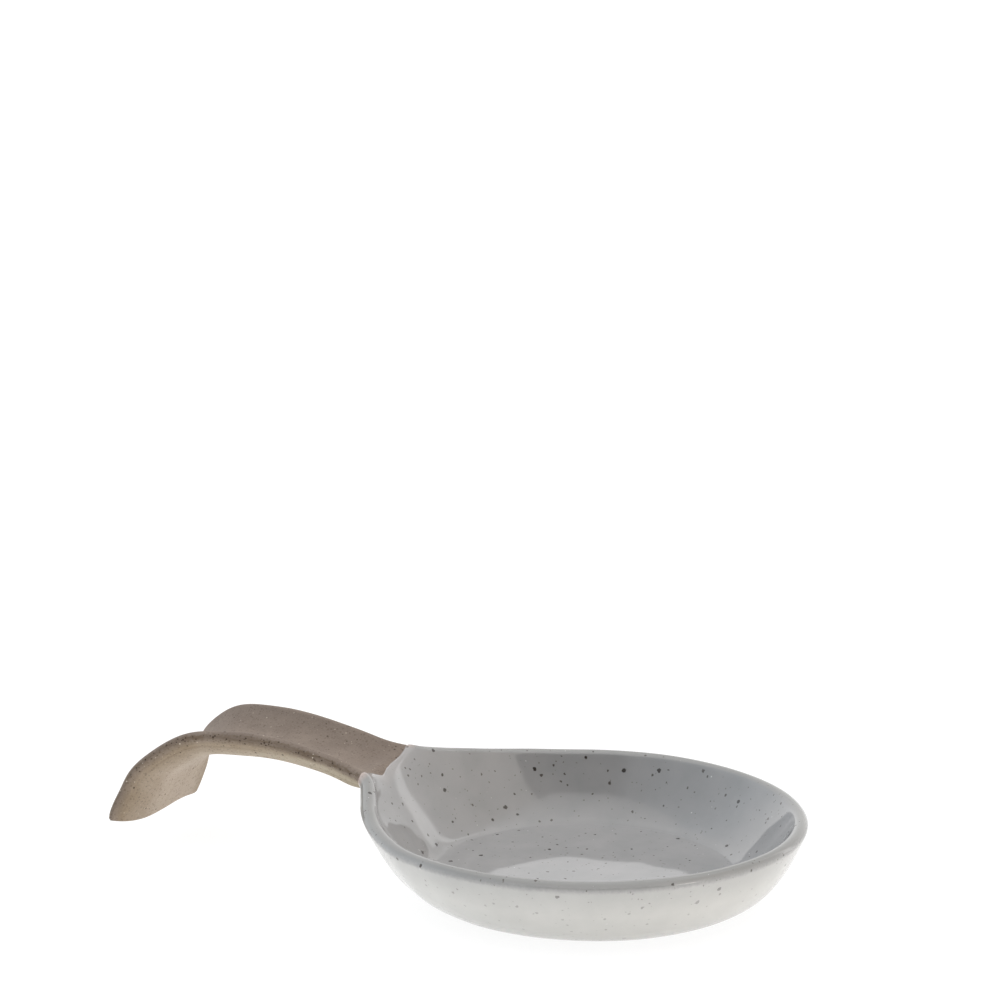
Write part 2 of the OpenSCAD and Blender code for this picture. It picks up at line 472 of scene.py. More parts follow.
def by_hand(rows, place, side):
    """The rows of a section on one side (+1 far, -1 near) after the handwork."""
    rows = rows * np.array([1, side, 1])
    for r, p in enumerate(rows):
        inside = r < off_lip
        if place > line_place:
            cut_end(p, place)
        if inside and side < 0 and place < neck_end:
            press_neck(p)
        if inside and place < sag_places[0]:
            sink_floor(p, place)
    return rows


# %% Lay out both sides
turns = [math.radians(end_angle * i / end_steps) for i in range(1, end_steps + 1)]
half = [section(p) for p in places]
near_half = half + [end_section(turn, near_corner) for turn in turns]
far_half = half + [end_section(turn, far_corner) for turn in turns]
# The sections past the end carry on the count of places in tenths.
half_places = places + [end_place + i / 10 for i in range(1, end_steps + 1)]
column_places = half_places[:0:-1] + half_places
columns = [by_hand(rows, place, -1) for rows, place in zip(near_half[:0:-1], half_places[:0:-1])]
columns += [by_hand(rows, place, 1) for rows, place in zip(far_half, half_places)]
print(len(columns), "sections")


# %% Join the sections into a closed skin
same_point = 0.003
too_short = 0.001


def grid_faces(count, rows):
    return [(c * rows + r, (c + 1) * rows + r, (c + 1) * rows + r + 1, c * rows + r + 1)
            for c in range(count - 1) for r in range(rows - 1)]


def end_faces(column, rows):
    """Faces across the clay at an end, from each top row to the row under it."""
    return [(column * rows + r, column * rows + r + 1, (column + 1) * rows - 2 - r,
             (column + 1) * rows - 1 - r)
            for r in range(rows // 2)]


def piece_of(name, mesh):
    piece = bpy.data.objects.new(name, mesh)
    bpy.context.scene.collection.objects.link(piece)
    return piece


def mesh_piece(name, points, faces, marks):
    """A new object from points in millimetres. Points that coincide become one."""
    mesh = bpy.data.meshes.new(name)
    mesh.from_pydata([tuple(p * MM) for p in points], [], faces)
    for mark, values in marks.items():
        mesh.attributes.new(mark, "FLOAT", "POINT").data.foreach_set("value", values)
    made = bmesh.new()
    made.from_mesh(mesh)
    bmesh.ops.remove_doubles(made, verts=made.verts, dist=same_point * MM)
    bmesh.ops.dissolve_degenerate(made, edges=made.edges, dist=too_short * MM)
    bmesh.ops.recalc_face_normals(made, faces=made.faces)
    made.to_mesh(mesh)
    made.free()
    return piece_of(name, mesh)


skin_faces = grid_faces(len(columns), rows_in_all)
skin_faces += end_faces(0, rows_in_all) + end_faces(len(columns) - 1, rows_in_all)
edge_ways = np.concatenate([np.linalg.norm(rows - rows[lip_row], axis=1) for rows in columns])
edge_ways *= np.tile(np.sign(np.arange(rows_in_all) - lip_row), len(columns))
skin = mesh_piece("skin", np.concatenate(columns), skin_faces, {
    "place": np.repeat(np.array(column_places, dtype=np.float32), rows_in_all),
    "from_edge": edge_ways.astype(np.float32)})
print("control faces:", len(skin.data.polygons))


# %% [markdown]
# ## Rounding the skin
#
# Subdivision Surface rounds a coarse mesh and draws it in a little as it does so. The
# mesh is checked after rounding and its control points are pushed out by what is
# missing, so that lip and foot end up at their measured places. After that the
# modifier is applied, because the next steps move the fine points themselves.


# %% Read and apply a mesh
def values_of(mesh, name):
    values = np.zeros(len(mesh.vertices), dtype=np.float32)
    mesh.attributes[name].data.foreach_get("value", values)
    return values


def points_of(mesh):
    flat = np.zeros(3 * len(mesh.vertices), dtype=np.float32)
    mesh.vertices.foreach_get("co", flat)
    return flat.reshape(-1, 3).astype(float) / MM


def normals_of(mesh):
    flat = np.zeros(3 * len(mesh.vertices), dtype=np.float32)
    mesh.vertex_normals.foreach_get("vector", flat)
    return flat.reshape(-1, 3).astype(float)


def settle(piece):
    """Applies the modifiers, so that the final mesh can be changed and measured."""
    bpy.context.view_layer.update()
    view = piece.evaluated_get(bpy.context.evaluated_depsgraph_get())
    piece.data = bpy.data.meshes.new_from_object(view)
    piece.modifiers.clear()
    piece.data.shade_smooth()


# %% Round it off
def true_up(piece, times=2):
    """Rounding draws a form in a little. The control points are pushed out until the
    rounded surface passes through where they stood."""
    target = points_of(piece.data)
    moved = target.copy()
    for _ in range(times):
        bpy.context.view_layer.update()
        view = piece.evaluated_get(bpy.context.evaluated_depsgraph_get())
        short = target - points_of(view.data)[:len(target)]
        moved += short
        piece.data.vertices.foreach_set("co", (moved * MM).astype(np.float32).ravel())
        piece.data.update()
        print("rounding had drawn it in by up to", round(float(np.abs(short).max()), 2), "mm")


smoothing = 2
rounding = skin.modifiers.new("rounding", "SUBSURF")
rounding.levels = smoothing
rounding.render_levels = smoothing
true_up(skin)
settle(skin)
print("faces after rounding:", len(skin.data.polygons))

# %% [markdown]
# ## The maker's hand
#
# Nothing that is thrown and pulled by hand is quite true. A slow unevenness of about
# a tenth of a millimetre is hard to see in the outline, but it is what makes the
# reflections in the glaze waver. A Displace modifier could do it, but here the flat base
# can be spared.

# %% Waver the skin
slow_wave = 26.0
quick_wave = 9.0
slow_height = 0.16
quick_height = 0.035
quick_shift = 7.0
calm_below = 1.2
calm_rise = 2.0


def noise_at(points, size, shift=0.0):
    """Smooth noise from -1 to 1 at each point, with lumps of a size in millimetres. A
    shift gives other noise of the same size."""
    move = Vector((shift, shift, shift))
    return np.array([noise.noise(Vector(p / size) + move) for p in points])


skin_points = points_of(skin.data)
skin_normals = normals_of(skin.data)
uneven = slow_height * noise_at(skin_points, slow_wave)
uneven += quick_height * noise_at(skin_points, quick_wave, quick_shift)
calm = np.clip((skin_points[:, 2] - calm_below) / calm_rise, 0, 1)
skin_points += skin_normals * (uneven * calm)[:, None]
skin.data.vertices.foreach_set("co", (skin_points * MM).astype(np.float32).ravel())
skin.data.update()
print("the surface wavers by up to", round(float(np.abs(uneven).max()), 2), "mm")

# %% [markdown]
# ## Clay: bowl and handle
#
# The skin is cut where the maker joined the handle to the bowl, just inside the glaze
# line, and each side gets a closing face there. A Boolean could cut it too, but sorting
# the faces by place leaves no slivers. Hardly any of the bowl's clay shows: the band
# round the foot is wiped clean of glaze, so that it doesn't stick to the kiln shelf.

# %% Cut the clay apart
join_place = 12.84


def face_values(mesh, values):
    """The mean of a value over the corners of each face."""
    starts = np.zeros(len(mesh.polygons), dtype=np.int32)
    mesh.polygons.foreach_get("loop_start", starts)
    corners = np.zeros(len(mesh.loops), dtype=np.int32)
    mesh.loops.foreach_get("vertex_index", corners)
    sums = np.add.reduceat(values[corners], starts)
    return sums / np.diff(np.append(starts, len(corners)))


def cut_piece(source, name, keep):
    """A closed copy of some faces of a piece, with a flat face over the cut."""
    mesh = source.data.copy()
    mesh.name = name
    made = bmesh.new()
    made.from_mesh(mesh)
    made.faces.ensure_lookup_table()
    gone = [made.faces[i] for i in np.flatnonzero(~keep)]
    bmesh.ops.delete(made, geom=gone, context="FACES")
    rim = [e for e in made.edges if e.is_boundary]
    closing = bmesh.ops.holes_fill(made, edges=rim, sides=0)["faces"]
    for face in closing:
        face.smooth = False
    bmesh.ops.recalc_face_normals(made, faces=made.faces)
    made.to_mesh(mesh)
    made.free()
    print(name, len(mesh.polygons), "faces,", len(closing), "closing")
    return piece_of(name, mesh)


on_handle = face_values(skin.data, values_of(skin.data, "place")) > join_place
bowl = cut_piece(skin, "clay_bowl", ~on_handle)
handle = cut_piece(skin, "clay_handle", on_handle)
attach(bowl, "root")
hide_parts("bowl_body")
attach(handle, "root")
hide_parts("handle")

# %% [markdown]
# ## The foot
#
# A low round disc under the bowl, trimmed on the wheel. It is drawn as half a profile
# and turned by bmesh's spin, as the wheel did it. Its edge is softened with a sponge,
# and the face that stands on the table stays flat.

# %% Turn the foot
foot_edge_r = 0.35
foot_draft = 0.1
foot_steps = 160
hub_point = 0.002
bevel = [(foot_r - foot_edge_r + foot_edge_r * math.sin(a),
          foot_edge_r - foot_edge_r * math.cos(a))
         for a in (math.radians(d) for d in (0, 22, 45, 68, 90))]
foot_profile = [(0, 0), (foot_r / 2, 0), (foot_r - 3 * foot_edge_r, 0)] + bevel
foot_profile += [(foot_r, foot_h * 0.8), (foot_r - foot_draft, foot_h), (foot_r / 2, foot_h),
                 (0, foot_h)]


def turned(name, profile, steps):
    """A body turned round the Z axis from (radius, height) points in millimetres."""
    made = bmesh.new()
    verts = [made.verts.new((r * MM, 0, z * MM)) for r, z in profile]
    edges = [made.edges.new(pair) for pair in zip(verts, verts[1:])]
    bmesh.ops.spin(made, geom=verts + edges, cent=(0, 0, 0), axis=(0, 0, 1), angle=2 * math.pi,
                   steps=steps, use_merge=True)
    bmesh.ops.remove_doubles(made, verts=made.verts, dist=hub_point * MM)
    bmesh.ops.recalc_face_normals(made, faces=made.faces)
    mesh = bpy.data.meshes.new(name)
    made.to_mesh(mesh)
    made.free()
    mesh.shade_smooth()
    return piece_of(name, mesh)


foot = turned("clay_foot", foot_profile, foot_steps)
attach(foot, "root")
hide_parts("foot")
print("foot:", len(foot.data.polygons), "faces")

# %% [markdown]
# ## The glaze
#
# A dipped bowl wears its glaze as a coat about 0.4 mm thick, and the edge of the coat
# is a small rounded step. A Solidify modifier gives a coat of one thickness. Here
# each point of the skin is moved out by a thickness that depends on how far it is
# from the edge, so that the coat swells a little before it ends, as a glaze does
# when it melts and pulls back. Beyond its edge the coat dips under the clay, which
# makes the line as fine as the mesh, whatever way it wanders.

# %% Where the glaze ends
line_at = -69.3
line_bow = 0.6
line_bulge = 1.3
bulge_y = -6.0
bulge_reach = 4.0
line_wander = 0.35
line_waves = (8.0, 2.6)
quick_share = 0.35
ring_at = base_r + 0.5
ring_wander = 0.3
ring_size = 12.0
ring_below = 6.0

x, y, z = skin_points.T
seen_from_end = skin_points * np.array([0, 1, 1])
line_wave = noise_at(seen_from_end, line_waves[0], 3.0)
line_wave += quick_share * noise_at(seen_from_end, line_waves[1], 9.0)
line_shape = line_bow * (y / line_half) ** 2
line_shape -= line_bulge * np.exp(-((y - bulge_y) / bulge_reach) ** 2)
past_line = x - line_at + line_shape - line_wander * line_wave
ring_wave = noise_at(skin_points * np.array([1, 1, 0]), ring_size, 5.0)
past_ring = np.hypot(x, y) - ring_at - ring_wander * ring_wave
on_base = (values_of(skin.data, "from_edge") > 0) & (z < ring_below)
inward = np.where(on_base, np.minimum(past_line, past_ring), past_line)
print("points at the glaze line:", int((np.abs(past_line) < 0.5).sum()))

# %% How thick it is
edge_w = 0.75
even_share = 0.82
roll = 0.3
roll_at = 1.6
roll_reach = 1.3
roll_to = 8.0
tuck = 0.3
tuck_way = 0.4

reach_in = np.clip(inward / edge_w, 0, 1)
rounded = np.sqrt(1 - (1 - reach_in) ** 2)
swell = roll * np.exp(-((inward - roll_at) / roll_reach) ** 2)
swell *= np.clip(past_line / 0.2 + 1, 0, 1) * (past_line < roll_to)
thick = glaze_t * rounded * (even_share + swell) - tuck * np.clip(-inward / tuck_way, 0, 1)
print("glaze from", round(float(thick.min()), 2), "to", round(float(thick.max()), 2), "mm")


# %% Make the coat
# Its faces go on past its edge, under the clay, and its back lies deeper than they do.
coat_to = -0.9
behind_tuck = 0.15


def coat(mesh, name, outer, inner, keep, marks):
    """A closed shell over some faces of a mesh, from an outer to an inner set of points."""
    used = [p.vertices[:] for p, k in zip(mesh.polygons, keep) if k]
    count = len(mesh.vertices)
    edges = {}
    for face in used:
        for a, b in zip(face, face[1:] + face[:1]):
            if (b, a) in edges:
                del edges[(b, a)]
            else:
                edges[(a, b)] = True
    faces = list(used)
    faces += [tuple(i + count for i in reversed(face)) for face in used]
    faces += [(b, a, a + count, b + count) for a, b in edges]
    made = bpy.data.meshes.new(name)
    made.from_pydata([tuple(p) for p in np.concatenate([outer, inner]) * MM], [], faces)
    for mark, values in marks.items():
        both = np.concatenate([values, values]).astype(np.float32)
        made.attributes.new(mark, "FLOAT", "POINT").data.foreach_set("value", both)
    clean = bmesh.new()
    clean.from_mesh(made)
    loose = [v for v in clean.verts if not v.link_faces]
    bmesh.ops.delete(clean, geom=loose, context="VERTS")
    clean.to_mesh(made)
    clean.free()
    made.shade_smooth()
    return piece_of(name, made)


coat_normals = normals_of(skin.data)
glazed = face_values(skin.data, inward) > coat_to
coat_marks = {"from_edge": values_of(skin.data, "from_edge"), "from_line": inward}
glaze = coat(skin.data, "glaze", skin_points + coat_normals * thick[:, None],
             skin_points - coat_normals * (tuck + behind_tuck), glazed, coat_marks)
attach(glaze, "root")
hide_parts("glaze_coat")
bpy.data.objects.remove(skin)
print("glaze:", len(glaze.data.polygons), "faces")

# %% [markdown]
# ## Finishes
#
# Two finishes make this object: bare stoneware and the glaze on it. Both are built
# from noise whose scale comes from real sizes in millimetres. Object coordinates in
# metres are multiplied by 1000 once, and then a lump of a millimetres has scale 1/a.


# %% Colours and nodes
def linear(hex_colour):
    """An sRGB hex colour as linear light, with alpha."""
    parts = [int(hex_colour[i:i + 2], 16) / 255 for i in (1, 3, 5)]
    return [p / 12.92 if p <= 0.04045 else ((p + 0.055) / 1.055) ** 2.4 for p in parts] + [1.0]


def add(tree, kind, sockets=None, **settings):
    """Adds a node, sets its settings, and fills its sockets with values or links. The
    kind is Blender's own name for the node without its first part, ShaderNode."""
    made = tree.nodes.new("ShaderNode" + kind)
    for key, value in settings.items():
        setattr(made, key, value)
    for key, value in (sockets or {}).items():
        if isinstance(value, bpy.types.NodeSocket):
            tree.links.new(value, made.inputs[key])
        else:
            made.inputs[key].default_value = value
    return made


def new_material(name):
    material = bpy.data.materials.new(name)
    material.use_nodes = True
    material.node_tree.nodes.clear()
    return material, material.node_tree


def dress(piece, material):
    piece.data.materials.clear()
    piece.data.materials.append(material)


# %% [markdown]
# ### Bare stoneware
#
# Stoneware clay with sand and iron in it, sponged while damp and fired without glaze.
# To the eye it is a matt warm grey, gritty, with dark iron specks and pale grains of
# sand. Just past the crest of the handle's edge runs a band that is darker and rougher,
# with scuffs, and the underside is painted paler, as painted light from the table. These
# could be painted on, but the skin knows how far each point is from the edge, and the
# material follows that.

# %% Bare stoneware: colour
blotch = 10.0
stoneware, tree = new_material("bare_stoneware")
spot = add(tree, "TexCoord").outputs["Object"]
mm = add(tree, "VectorMath", {0: spot, "Scale": 1000.0}, operation="SCALE").outputs[0]
from_edge = add(tree, "Attribute", attribute_name="from_edge").outputs["Fac"]
place = add(tree, "Attribute", attribute_name="place").outputs["Fac"]

clouds = add(tree, "TexNoise",
             {"Vector": mm, "Scale": 1 / blotch, "Detail": 4.0, "Roughness": 0.6})
body = add(tree, "ValToRGB", {"Fac": clouds.outputs["Fac"]})
body.color_ramp.elements[0].position = 0.3
body.color_ramp.elements[0].color = linear("#756960")
body.color_ramp.elements[1].position = 0.7
body.color_ramp.elements[1].color = linear("#81756b")
colour = body.outputs["Color"]

# %% The underside painted paler: painted light from the table
place_mm = 8.0
streak_long = 30.0
streak_wide = 1.8
along = add(tree, "Math", {0: place, 1: place_mm}, operation="MULTIPLY").outputs[0]
strap = add(tree, "CombineXYZ", {0: along, 1: from_edge}).outputs[0]
drag = add(tree, "Mapping",
           {"Vector": strap, "Scale": (1 / streak_long, 1 / streak_wide, 1)}).outputs[0]
marks = add(tree, "TexNoise", {"Vector": drag, "Scale": 1.0, "Detail": 2.0}).outputs["Fac"]
# Painted light: the underside is painted paler the further it lies under the edge, and more so
# towards the end of the handle, where the table lights it.
below = add(tree, "MapRange", {"Value": from_edge, "From Min": 1.5, "From Max": 4.0}).outputs[0]
pale_by = add(tree, "MapRange",
              {"Value": place, "From Min": 15.0, "From Max": 20.0, "To Min": 3.6,
               "To Max": 17.0}).outputs[0]
depth_in = add(tree, "MapRange",
               {"Value": from_edge, "From Min": 2.0, "From Max": pale_by}).outputs[0]
patchy = add(tree, "MapRange",
             {"Value": clouds.outputs["Fac"], "From Min": 0.3, "From Max": 0.7, "To Min": -0.2,
              "To Max": 0.2}).outputs[0]
depth_in = add(tree, "Math", {0: depth_in, 1: patchy}, operation="ADD", use_clamp=True).outputs[0]
to_end = add(tree, "MapRange", {"Value": place, "From Min": 13.0, "From Max": 19.0}).outputs[0]
painted_light_tint = add(tree, "Mix", {0: to_end, 6: linear("#9f9582"), 7: linear("#afa294")},
           data_type="RGBA").outputs[2]
painted_lit_underside = add(tree, "Mix", {0: depth_in, 6: linear("#867763"), 7: painted_light_tint},
                 data_type="RGBA").outputs[2]
colour = add(tree, "Mix", {0: below, 6: colour, 7: painted_lit_underside}, data_type="RGBA").outputs[2]

# %% Streaks of the hand that pulled it
by_edge = add(tree, "MapRange",
              {"Value": from_edge, "From Min": 5.0, "From Max": 9.0, "To Min": 1.0,
               "To Max": 0.15}).outputs[0]
streak = add(tree, "MapRange",
             {"Value": marks, "From Min": 0.48, "From Max": 0.66, "To Max": 0.45}).outputs[0]
streak = add(tree, "Math", {0: streak, 1: by_edge}, operation="MULTIPLY").outputs[0]
streak = add(tree, "Math", {0: streak, 1: below}, operation="MULTIPLY").outputs[0]
colour = add(tree, "Mix", {0: streak, 6: colour, 7: linear("#7c6d5b")},
             data_type="RGBA").outputs[2]

# %% The dark band along the edge
edge_lumps = 1.2
lump_depth = 1.1
uneven_mm = add(tree, "TexNoise",
                {"Vector": mm, "Scale": 1 / edge_lumps, "Detail": 3.0}).outputs["Fac"]
wobble = add(tree, "Math", {0: uneven_mm, 1: 2 * lump_depth, 2: -lump_depth},
             operation="MULTIPLY_ADD").outputs[0]
there = add(tree, "Math", {0: from_edge, 1: wobble}, operation="ADD").outputs[0]
band_in = add(tree, "MapRange", {"Value": there, "From Min": 0.2, "From Max": 0.9}).outputs[0]
full_w = add(tree, "MapRange",
             {"Value": place, "From Min": 15.0, "From Max": 20.0, "To Min": 2.9,
              "To Max": 1.5}).outputs[0]
slim = add(tree, "MapRange",
           {"Value": place, "From Min": 13.0, "From Max": 16.0, "To Min": 0.6}).outputs[0]
band_w = add(tree, "Math", {0: full_w, 1: slim}, operation="MULTIPLY").outputs[0]
past_band = add(tree, "Math", {0: there, 1: band_w}, operation="SUBTRACT").outputs[0]
band_out = add(tree, "MapRange",
               {"Value": past_band, "From Min": -0.5, "From Max": 0.6, "To Min": 1.0,
                "To Max": 0.0}).outputs[0]
band = add(tree, "Math", {0: band_in, 1: band_out}, operation="MULTIPLY").outputs[0]

# %% Scuffs on the dark band
scuff_long = 4.0
scuff_wide = 0.7
scuff_map = add(tree, "Mapping",
                {"Vector": strap, "Scale": (1 / scuff_long, 1 / scuff_wide, 1)}).outputs[0]
scuffs = add(tree, "TexNoise",
             {"Vector": scuff_map, "Scale": 1.0, "Detail": 3.0, "Roughness": 0.7}).outputs["Fac"]
scuffs = add(tree, "MapRange",
             {"Value": scuffs, "From Min": 0.42, "From Max": 0.60, "To Min": 0.35}).outputs[0]
band_dark = add(tree, "Math", {0: band, 1: scuffs}, operation="MULTIPLY").outputs[0]
colour = add(tree, "Mix", {0: band_dark, 6: colour, 7: linear("#66584a")},
             data_type="RGBA").outputs[2]

# %% Iron specks and grains of sand
# Each kind: how far apart and how large, in mm, its colour, and how strong it shows on
# the body and on the dark band along the edge.
grit_kinds = [(2.4, 0.38, "#3b322b", 0.75, 0.85), (0.9, 0.38, "#3f342b", 0.3, 0.9),
              (1.8, 0.26, "#d0c6b7", 0.4, 0.85)]
grit_blur = 0.06
for number, (apart, radius, tint, strength, in_band) in enumerate(grit_kinds):
    moved = add(tree, "VectorMath", {0: mm, 1: (11.0 * number, 5.0, 2.0)},
                operation="ADD").outputs[0]
    cells = add(tree, "TexVoronoi", {"Vector": moved, "Scale": 1 / apart}).outputs
    luck = add(tree, "SeparateColor", {0: cells["Color"]}).outputs[0]
    size = add(tree, "Math", {0: luck, 1: radius / apart}, operation="MULTIPLY").outputs[0]
    near = add(tree, "Math", {0: size, 1: cells["Distance"]}, operation="SUBTRACT").outputs[0]
    mask = add(tree, "MapRange",
               {"Value": near, "From Min": -grit_blur / apart,
                "From Max": grit_blur / apart}).outputs[0]
    share = add(tree, "MapRange",
                {"Value": band, "To Min": strength, "To Max": in_band}).outputs[0]
    amount = add(tree, "Math", {0: mask, 1: share}, operation="MULTIPLY").outputs[0]
    colour = add(tree, "Mix", {0: amount, 6: colour, 7: linear(tint)},
                 data_type="RGBA").outputs[2]

# %% Bare stoneware: surface
# Such grit is about 0.2 mm, too fine to show from a metre away, so it is drawn coarser.
grain = 0.5
fine = add(tree, "TexNoise",
           {"Vector": mm, "Scale": 1 / grain, "Detail": 3.0, "Roughness": 0.7}).outputs["Fac"]
shade = add(tree, "MapRange",
            {"Value": fine, "From Min": 0.3, "From Max": 0.7, "To Min": 0.88,
             "To Max": 1.1}).outputs[0]
shaded = add(tree, "VectorMath", {0: colour, "Scale": shade}, operation="SCALE").outputs[0]
shader = add(tree, "BsdfPrincipled",
             {"Base Color": shaded, "Roughness": 0.88, "IOR": 1.5, "Specular IOR Level": 0.3})
rough_height = add(tree, "MapRange", {"Value": band, "To Min": 0.06, "To Max": 0.14}).outputs[0]
height = add(tree, "Math", {0: fine, 1: rough_height}, operation="MULTIPLY").outputs[0]
bumps = add(tree, "Bump", {"Height": height, "Strength": 1.0, "Distance": MM})
tree.links.new(bumps.outputs["Normal"], shader.inputs["Normal"])
add(tree, "OutputMaterial", {"Surface": shader.outputs["BSDF"]})
for piece in (handle, foot, bowl):
    dress(piece, stoneware)
print("bare stoneware:", len(tree.nodes), "nodes")

# %% [markdown]
# ### Pale grey glaze
#
# A feldspar glaze, dipped and fired until it melts to glass. To the eye it is a cool
# pale grey with a wet gloss, a little uneven in tone, with dark specks where iron in
# the clay has come through, and small pinholes that catch the light; their glints are
# painted as pale dots. The glaze is the same inside and out, but it is painted darker
# inside the bowl and on the lip, as painted shade, and paler down the outside, as
# painted light from the table. It hides the clay, so one gloss shader does, and no
# clear shell over a second colour is needed.

# %% Pale grey glaze: colour
cloud_size = 11.0
mottle_size = 1.1
mottle_depth = 0.8
glaze_finish, tree = new_material("grey_gloss_glaze")
spot = add(tree, "TexCoord").outputs["Object"]
mm = add(tree, "VectorMath", {0: spot, "Scale": 1000.0}, operation="SCALE").outputs[0]
from_edge = add(tree, "Attribute", attribute_name="from_edge").outputs["Fac"]

clouds = add(tree, "TexNoise",
             {"Vector": mm, "Scale": 1 / cloud_size, "Detail": 3.0,
              "Roughness": 0.55}).outputs["Fac"]
clouds = add(tree, "MapRange", {"Value": clouds, "From Min": 0.3, "From Max": 0.7}).outputs[0]
# Painted light and shade: one glaze in two colours, the darker one inside the bowl and on the lip
# as painted shade, the paler one down the outside as painted light from the table. The change
# between them is spread over the upper outer wall.
painted_shaded_glaze = add(tree, "Mix", {0: clouds, 6: linear("#8c8c8c"), 7: linear("#949393")},
           data_type="RGBA").outputs[2]
painted_lit_glaze = add(tree, "Mix", {0: clouds, 6: linear("#b6b5b1"), 7: linear("#bdbcb8")},
                data_type="RGBA").outputs[2]
mottle = add(tree, "TexNoise",
             {"Vector": mm, "Scale": 1 / mottle_size, "Detail": 2.0,
              "Roughness": 0.6}).outputs["Fac"]
mottle = add(tree, "Math", {0: mottle, 1: 2 * mottle_depth, 2: -mottle_depth},
             operation="MULTIPLY_ADD").outputs[0]
fall = add(tree, "Math", {0: from_edge, 1: mottle}, operation="ADD").outputs[0]
fall = add(tree, "MapRange", {"Value": fall, "From Min": 1.6, "From Max": 11.6}).outputs[0]
lit_outside_ramp = add(tree, "ValToRGB", {"Fac": fall})
lit_outside_ramp.color_ramp.elements[0].color = (0, 0, 0, 1)
lit_outside_ramp.color_ramp.elements[1].color = (1, 1, 1, 1)
middle_stop = lit_outside_ramp.color_ramp.elements.new(0.17)
middle_stop.color = (0.6, 0.6, 0.6, 1)
outer = lit_outside_ramp.outputs["Color"]
colour = add(tree, "Mix", {0: outer, 6: painted_shaded_glaze, 7: painted_lit_glaze}, data_type="RGBA").outputs[2]

# %% Where it runs thin: on the lip, which also has painted shade, and at its own edge
# The crest of the lip is darker: partly glaze that runs thin over it, partly painted shade of the
# dark band along the lip.
off_crest = add(tree, "Math", {0: from_edge}, operation="ABSOLUTE").outputs[0]
on_crest = add(tree, "MapRange",
               {"Value": off_crest, "From Min": 1.0, "From Max": 2.6, "To Min": 0.7,
                "To Max": 0.0}).outputs[0]
colour = add(tree, "Mix", {0: on_crest, 6: colour, 7: linear("#7d7d7a")},
             data_type="RGBA").outputs[2]
from_line = add(tree, "Attribute", attribute_name="from_line").outputs["Fac"]
sheer = add(tree, "MapRange",
            {"Value": from_line, "From Min": 0.3, "From Max": 3.2, "To Min": 0.75,
             "To Max": 0.0}).outputs[0]
on_lip = add(tree, "MapRange",
             {"Value": from_edge, "From Min": -3.0, "From Max": -0.5, "To Min": 0.15}).outputs[0]
sheer = add(tree, "Math", {0: sheer, 1: on_lip}, operation="MULTIPLY").outputs[0]
colour = add(tree, "Mix", {0: sheer, 6: colour, 7: linear("#b5a096")},
             data_type="RGBA").outputs[2]

# %% Specks in the glaze
# Their edges are ragged, because the place of every point is shaken by a small noise.
# Each kind: how far apart and how large, in mm, its colour, and how strong it shows.
# The last kind is painted glints: pale dots at the pinholes, where they catch the light.
ragged_size = 1 / 1.1
ragged_by = 0.9
speck_kinds = [(6.2, 0.82, "#2b2521", 0.95), (3.4, 0.50, "#3a322c", 0.85),
               (2.2, 0.28, "#4a4138", 0.65), (4.6, 0.26, "#dededc", 0.8)]
smallest = 0.35
speck_blur = 0.07
outside_share = 0.3
ragged = add(tree, "TexNoise",
             {"Vector": mm, "Scale": 1 / ragged_size, "Detail": 2.0}).outputs["Color"]
shaken = add(tree, "VectorMath", {0: ragged, 1: (-0.5, -0.5, -0.5)}, operation="ADD").outputs[0]
shaken = add(tree, "VectorMath", {0: shaken, "Scale": ragged_by}, operation="SCALE").outputs[0]
rough_mm = add(tree, "VectorMath", {0: mm, 1: shaken}, operation="ADD").outputs[0]
for number, (apart, radius, tint, strength) in enumerate(speck_kinds):
    moved = add(tree, "VectorMath", {0: rough_mm, 1: (17.0 * number, 5.0, 3.0)},
                operation="ADD").outputs[0]
    cells = add(tree, "TexVoronoi", {"Vector": moved, "Scale": 1 / apart}).outputs
    luck = add(tree, "SeparateColor", {0: cells["Color"]}).outputs[0]
    size = add(tree, "MapRange",
               {"Value": luck, "To Min": smallest * radius / apart,
                "To Max": radius / apart}).outputs[0]
    near = add(tree, "Math", {0: size, 1: cells["Distance"]}, operation="SUBTRACT").outputs[0]
    mask = add(tree, "MapRange",
               {"Value": near, "From Min": -speck_blur / apart,
                "From Max": speck_blur / apart}).outputs[0]
    faint = add(tree, "MapRange",
                {"Value": outer, "To Min": strength, "To Max": strength * outside_share}).outputs[0]
    amount = add(tree, "Math", {0: mask, 1: faint}, operation="MULTIPLY").outputs[0]
    colour = add(tree, "Mix", {0: amount, 6: colour, 7: linear(tint)},
                 data_type="RGBA").outputs[2]

# %% Pale grey glaze: surface
ripple_size = 6.0
ripple_height = 0.02
shader = add(tree, "BsdfPrincipled", {"Base Color": colour, "Roughness": 0.05, "IOR": 1.55})
ripple = add(tree, "TexNoise",
             {"Vector": mm, "Scale": 1 / ripple_size, "Detail": 1.0,
              "Roughness": 0.4}).outputs["Fac"]
bumps = add(tree, "Bump", {"Height": ripple, "Strength": 1.0, "Distance": ripple_height * MM})
tree.links.new(bumps.outputs["Normal"], shader.inputs["Normal"])
add(tree, "OutputMaterial", {"Surface": shader.outputs["BSDF"]})
dress(glaze, glaze_finish)
print("glaze:", len(tree.nodes), "nodes")

# %% [markdown]
# ## The studio
#
# A white table in a tent of white cloth, lit from both sides, with an opening at the
# front for the camera. The outside of the bowl takes its light from the table and
# looks paler than the inside, which the glaze's painted light and shade add to, and the
# opening shows as a dark patch in the gloss of the far wall. Area lamps would show in
# the gloss as hard panels, so the tent is a colour ramp round the world. The camera
# sees plain white behind the object.

